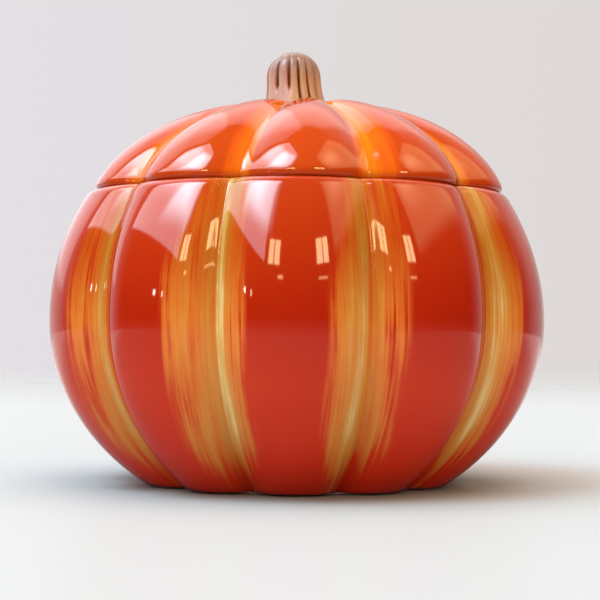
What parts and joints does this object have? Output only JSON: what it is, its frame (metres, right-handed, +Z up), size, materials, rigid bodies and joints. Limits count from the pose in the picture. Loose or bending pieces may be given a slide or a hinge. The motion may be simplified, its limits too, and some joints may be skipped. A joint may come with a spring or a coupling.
{
  "type": "lidded ceramic pumpkin jar",
  "caption": "Glazed ceramic jar shaped like a ribbed pumpkin, hollow, with a lift-off domed lid and a ribbed stem-shaped knob.",
  "frame": {"origin": "centre of the foot ring, on the surface the jar stands on", "axes": "+Z up along the jar's axis, -Y towards the front, +X to the right seen from the front"},
  "size_m": [0.2342, 0.2324, 0.2019],
  "materials": {
    "jar_glaze": "gloss orange-red glaze, brushed orange and yellow along the creases",
    "lid_glaze": "gloss orange glaze, brushed yellow along the creases",
    "inner_glaze": "clear gloss over a cream clay",
    "stem_glaze": "gloss brown glaze, darker in the grooves",
    "bare_clay": "unglazed, sanded flat"
  },
  "bodies": {
    "jar": {"jar_body": "jar_glaze", "jar_foot_ring": "bare_clay"},
    "lid_ring": {"lid_locating_ring": "inner_glaze"},
    "lid": {"lid_shell": "lid_glaze", "stem_knob": "stem_glaze"}
  },
  "joints": [
    {"name": "lid_lift", "type": "slide", "parent": "jar", "child": "lid_ring", "axis": [0, 0, 1], "range_m": [0, 0.1]},
    {"name": "lid_turn", "type": "hinge", "parent": "lid_ring", "child": "lid", "pos_m": [0, 0, 0.133], "axis": [0, 0, 1], "continuous": true}
  ]
}
